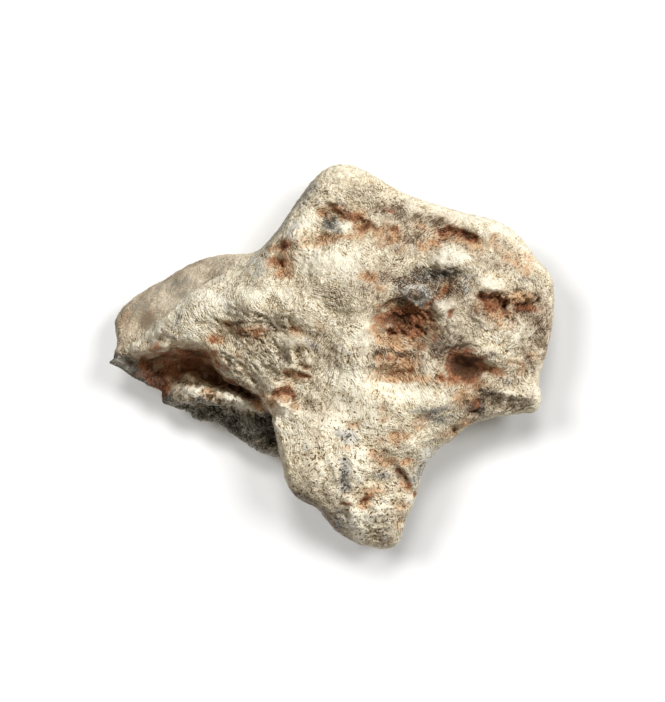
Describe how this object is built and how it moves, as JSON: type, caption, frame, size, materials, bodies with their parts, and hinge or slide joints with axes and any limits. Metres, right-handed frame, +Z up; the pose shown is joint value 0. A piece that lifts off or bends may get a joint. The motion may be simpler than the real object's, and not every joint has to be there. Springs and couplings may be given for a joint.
{
  "type": "lunar meteorite",
  "caption": "Weathered angular stone fragment with a thin side wing over a ledge, a blunt lower tongue, deep pits and a rough crust, lying flat.",
  "frame": {"origin": "on the surface that the stone rests on, under the middle of its box", "axes": "+X from the thin wing to the blunt right end, the longest way; +Y from the tongue to the peak; +Z up, the shortest way"},
  "size_m": [0.0402, 0.0348, 0.0174],
  "materials": {
    "weathered_stone": "rough, cream caliche crust over grey breccia, orange-brown clay in the hollows"
  },
  "bodies": {
    "root": {"meteorite": "weathered_stone"}
  },
  "joints": []
}
